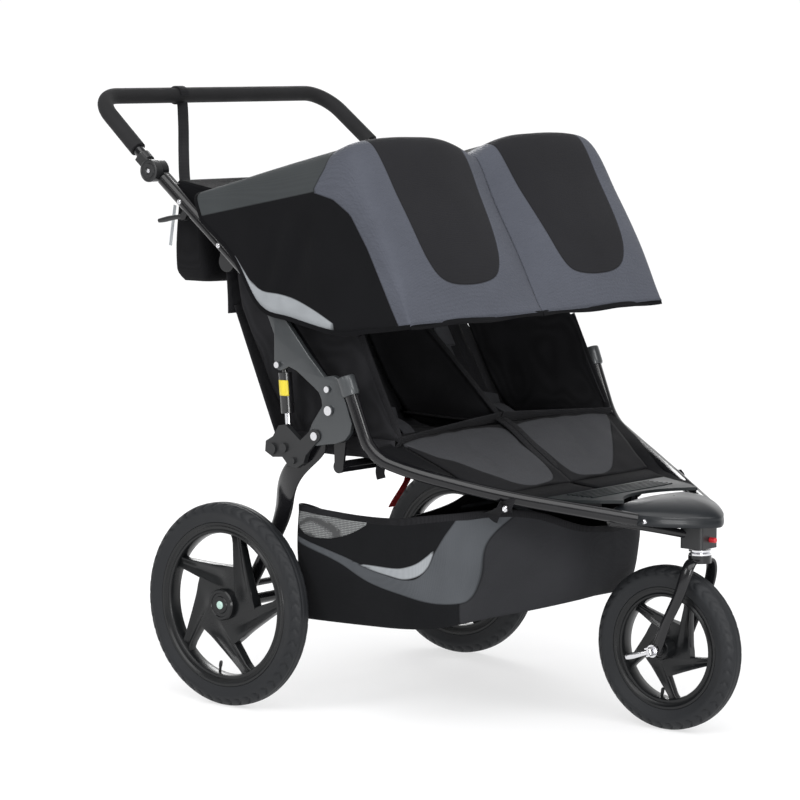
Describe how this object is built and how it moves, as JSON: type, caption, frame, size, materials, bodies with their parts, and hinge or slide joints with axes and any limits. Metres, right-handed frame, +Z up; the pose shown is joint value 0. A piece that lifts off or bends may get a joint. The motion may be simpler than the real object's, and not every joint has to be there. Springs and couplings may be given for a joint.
{
  "type": "jogging stroller",
  "caption": "Side-by-side double jogging stroller with a folding tube frame, swivelling front wheel, rear suspension, canopies, seats and cargo basket.",
  "frame": {"origin": "floor under the middle of the whole stroller", "axes": "+Z up, +X to the rider side called left, the stroller rolls towards -Y and the handlebar is at +Y"},
  "size_m": [0.802, 1.3409, 1.205],
  "materials": {
    "frame_paint": "satin black powder coat",
    "bracket_paint": "dark grey satin",
    "dark_steel": "dark steel",
    "bright_metal": "polished",
    "nose_plastic": "dark grey, semi-gloss",
    "footrest_rubber": "ribbed matt",
    "foam_grip": "fine foam",
    "black_plastic": "moulded",
    "shock_paint": "gloss black",
    "tyre_rubber": "matt",
    "rim_plastic": "fine moulded texture",
    "hub_button_plastic": "pale",
    "canopy_fabric": "plain weave",
    "canopy_grey": "embossed plain weave",
    "silver_fabric": "retro-reflective",
    "seat_fabric": "coated weave",
    "bag_fabric": "coated weave",
    "basket_fabric": "coated weave",
    "basket_grey": "coated weave",
    "basket_mesh": "open mesh",
    "webbing": "ribbed webbing",
    "red_webbing": "webbing",
    "red_plastic": "moulded",
    "yellow_plastic": "plain label"
  },
  "bodies": {
    "frame": {"side_rail_left": "frame_paint", "side_rail_right": "frame_paint", "seat_cross_tube": "frame_paint", "nose_cover": "nose_plastic", "footrest_mat": "footrest_rubber", "head_housing": "black_plastic", "brace_tubes": "frame_paint", "side_bracket_left": "bracket_paint", "side_bracket_right": "bracket_paint", "hinge_plates": "dark_steel", "frame_bolts": "bright_metal", "seat_base_left": "seat_fabric", "seat_base_right": "seat_fabric", "leg_panel_left": "seat_fabric", "leg_panel_right": "seat_fabric", "basket": "basket_fabric", "fold_strap": "red_webbing"},
    "swivel_lock": {"swivel_lock_knob": "red_plastic"},
    "fork": {"steering_stem": "dark_steel", "fork_spring": "bright_metal", "fork_legs": "frame_paint", "front_axle": "bright_metal"},
    "front_wheel": {"front_tyre": "tyre_rubber", "front_rim": "rim_plastic"},
    "quick_release": {"quick_release_lever": "bright_metal"},
    "rocker": {"suspension_rockers": "black_plastic"},
    "shock_body": {"shock_bodies": "shock_paint"},
    "shock_rod": {"shock_rods": "bright_metal"},
    "swing_arm": {"swing_arm_left": "frame_paint", "swing_arm_right": "frame_paint", "rear_axle_tube": "frame_paint"},
    "brake": {"brake_pedal": "black_plastic"},
    "upper_frame": {"upright_left": "frame_paint", "upright_right": "frame_paint", "crossbar": "frame_paint", "canopy_hinges": "black_plastic", "storage_bag": "bag_fabric", "handle_strap": "webbing"},
    "handlebar": {"handlebar_tube": "frame_paint", "handle_grip": "foam_grip", "handle_joint_left": "black_plastic", "handle_joint_right": "black_plastic"},
    "rear_wheel_left": {"rear_tyre_left": "tyre_rubber", "rear_rim_left": "rim_plastic", "brake_disc_left": "dark_steel"},
    "hub_button_left": {"hub_button_left": "hub_button_plastic"},
    "adjust_button_left": {"adjust_button_left": "black_plastic"},
    "release_lever_left": {"release_lever_left": "black_plastic"},
    "canopy_left": {"canopy_rear_left": "canopy_fabric", "canopy_front_left": "canopy_grey"},
    "seat_back_left": {"seat_back_left": "seat_fabric"},
    "rear_wheel_right": {"rear_tyre_right": "tyre_rubber", "rear_rim_right": "rim_plastic", "brake_disc_right": "dark_steel"},
    "hub_button_right": {"hub_button_right": "hub_button_plastic"},
    "adjust_button_right": {"adjust_button_right": "black_plastic"},
    "release_lever_right": {"release_lever_right": "black_plastic"},
    "canopy_right": {"canopy_rear_right": "canopy_fabric", "canopy_front_right": "canopy_grey"},
    "seat_back_right": {"seat_back_right": "seat_fabric"}
  },
  "joints": [
    {"name": "frame_fold", "type": "hinge", "parent": "frame", "child": "upper_frame", "pos_m": [0, -0.0055, 0.605], "axis": [1, 0, 0], "range_deg": [0, 140], "deforming": ["canopy_rear_left", "canopy_rear_right", "canopy_front_left", "canopy_front_right", "seat_back_left", "seat_back_right"]},
    {"name": "handlebar_tilt", "type": "hinge", "parent": "upper_frame", "child": "handlebar", "pos_m": [0, 0.4755, 1.045], "axis": [1, 0, 0], "range_deg": [-90, 9], "deforming": ["handle_strap"]},
    {"name": "suspension_travel", "type": "hinge", "parent": "frame", "child": "rocker", "pos_m": [0, 0.0295, 0.554], "axis": [1, 0, 0], "range_deg": [0, 8], "stiffness_Nm_per_rad": 100, "springref_deg": -17.19},
    {"name": "swing_fold", "type": "hinge", "parent": "rocker", "child": "swing_arm", "pos_m": [0, 0.0295, 0.554], "axis": [1, 0, 0], "range_deg": [-44, 0], "deforming": ["basket", "fold_strap"]},
    {"name": "shock_tilt", "type": "hinge", "parent": "frame", "child": "shock_body", "pos_m": [0, 0.1245, 0.684], "axis": [1, 0, 0], "range_deg": [-1.5, 0.1]},
    {"name": "shock_compress", "type": "slide", "parent": "shock_body", "child": "shock_rod", "axis": [0, 0.0884, 0.9961], "range_m": [-0.0005, 0.012]},
    {"name": "brake_press", "type": "hinge", "parent": "swing_arm", "child": "brake", "pos_m": [0, 0.3545, 0.215], "axis": [1, 0, 0], "range_deg": [-20, 0], "stiffness_Nm_per_rad": 3, "springref_deg": 11.46},
    {"name": "fork_swivel", "type": "hinge", "parent": "frame", "child": "fork", "pos_m": [0, -0.5815, 0.37], "axis": [0, 0, 1], "continuous": true},
    {"name": "front_wheel_spin", "type": "hinge", "parent": "fork", "child": "front_wheel", "pos_m": [0, -0.5135, 0.157], "axis": [1, 0, 0], "continuous": true},
    {"name": "quick_release_open", "type": "hinge", "parent": "fork", "child": "quick_release", "pos_m": [-0.064, -0.5135, 0.157], "axis": [0, 0.289, 0.9573], "range_deg": [0, 100]},
    {"name": "lock_pull", "type": "slide", "parent": "frame", "child": "swivel_lock", "axis": [0, -1, 0], "range_m": [0, 0.008], "stiffness_N_per_m": 200},
    {"name": "rear_wheel_spin_left", "type": "hinge", "parent": "swing_arm", "child": "rear_wheel_left", "pos_m": [0.365, 0.2845, 0.201], "axis": [1, 0, 0], "continuous": true},
    {"name": "hub_button_press_left", "type": "slide", "parent": "rear_wheel_left", "child": "hub_button_left", "axis": [-1, 0, 0], "range_m": [0, 0.003], "stiffness_N_per_m": 500},
    {"name": "adjust_button_press_left", "type": "slide", "parent": "upper_frame", "child": "adjust_button_left", "axis": [1, 0, 0], "range_m": [0, 0.005], "stiffness_N_per_m": 500},
    {"name": "release_squeeze_left", "type": "hinge", "parent": "upper_frame", "child": "release_lever_left", "pos_m": [0, 0.3981, 0.9558], "axis": [1, 0, 0], "range_deg": [0, 18], "stiffness_Nm_per_rad": 2, "springref_deg": -11.46},
    {"name": "canopy_tilt_left", "type": "hinge", "parent": "upper_frame", "child": "canopy_left", "pos_m": [0, 0.2995, 0.871], "axis": [1, 0, 0], "range_deg": [-17, 0]},
    {"name": "recline_left", "type": "hinge", "parent": "upper_frame", "child": "seat_back_left", "pos_m": [0, 0.1325, 0.52], "axis": [1, 0, 0], "range_deg": [-30, 0]},
    {"name": "rear_wheel_spin_right", "type": "hinge", "parent": "swing_arm", "child": "rear_wheel_right", "pos_m": [-0.365, 0.2845, 0.201], "axis": [1, 0, 0], "continuous": true},
    {"name": "hub_button_press_right", "type": "slide", "parent": "rear_wheel_right", "child": "hub_button_right", "axis": [1, 0, 0], "range_m": [0, 0.003], "stiffness_N_per_m": 500},
    {"name": "adjust_button_press_right", "type": "slide", "parent": "upper_frame", "child": "adjust_button_right", "axis": [-1, 0, 0], "range_m": [0, 0.005], "stiffness_N_per_m": 500},
    {"name": "release_squeeze_right", "type": "hinge", "parent": "upper_frame", "child": "release_lever_right", "pos_m": [0, 0.3981, 0.9558], "axis": [1, 0, 0], "range_deg": [0, 18], "stiffness_Nm_per_rad": 2, "springref_deg": -11.46},
    {"name": "canopy_tilt_right", "type": "hinge", "parent": "upper_frame", "child": "canopy_right", "pos_m": [0, 0.2995, 0.871], "axis": [1, 0, 0], "range_deg": [-17, 0]},
    {"name": "recline_right", "type": "hinge", "parent": "upper_frame", "child": "seat_back_right", "pos_m": [0, 0.1325, 0.52], "axis": [1, 0, 0], "range_deg": [-30, 0]}
  ],
  "couplings": [
    {"joint": "shock_tilt", "follows": "suspension_travel", "ratio": -0.169},
    {"joint": "shock_compress", "follows": "suspension_travel", "m_per_rad": 0.0818}
  ]
}
